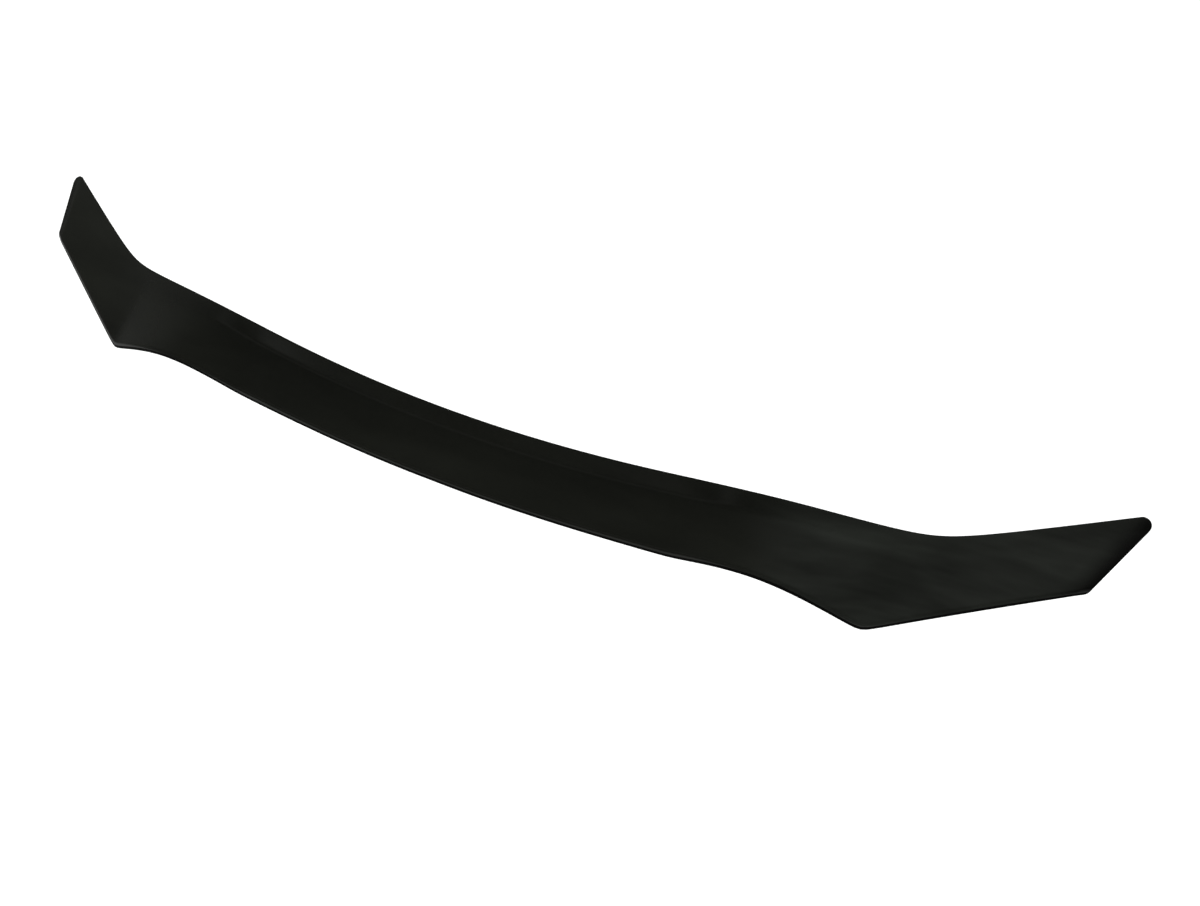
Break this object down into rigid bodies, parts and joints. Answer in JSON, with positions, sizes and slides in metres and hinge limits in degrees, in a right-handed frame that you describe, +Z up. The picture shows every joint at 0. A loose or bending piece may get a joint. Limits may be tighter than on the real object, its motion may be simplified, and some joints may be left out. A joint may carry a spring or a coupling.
{
  "type": "hood bug deflector",
  "caption": "Long dark acrylic shield that wraps the front edge of a hood, with a kicked-up lip, swept wings, clamps and rubber stops behind.",
  "frame": {"origin": "on the car's centre plane, in the middle of the clamps' channels, where the front hem of the hood sits", "axes": "+X across the car, -Y ahead of the car, where the outer face looks, +Z up"},
  "size_m": [1.4836, 0.1947, 0.1183],
  "materials": {
    "shield_acrylic": "glossy smoked black",
    "clamp_steel": "satin black coating",
    "tape_foam": "matt foam",
    "liner_rubber": "matt rubber",
    "screw_steel": "zinc plated",
    "stop_rubber": "matt rubber"
  },
  "bodies": {
    "root": {"deflector_shield": "shield_acrylic", "edge_clamp_1": "clamp_steel", "tape_pad_1": "tape_foam", "clamp_liner_1": "liner_rubber", "clamp_screw_1": "screw_steel", "edge_clamp_2": "clamp_steel", "tape_pad_2": "tape_foam", "clamp_liner_2": "liner_rubber", "clamp_screw_2": "screw_steel", "edge_clamp_3": "clamp_steel", "tape_pad_3": "tape_foam", "clamp_liner_3": "liner_rubber", "clamp_screw_3": "screw_steel", "edge_clamp_4": "clamp_steel", "tape_pad_4": "tape_foam", "clamp_liner_4": "liner_rubber", "clamp_screw_4": "screw_steel", "bump_stop_1": "stop_rubber", "bump_stop_2": "stop_rubber", "bump_stop_3": "stop_rubber", "bump_stop_4": "stop_rubber", "bump_stop_5": "stop_rubber", "bump_stop_6": "stop_rubber"}
  },
  "joints": []
}
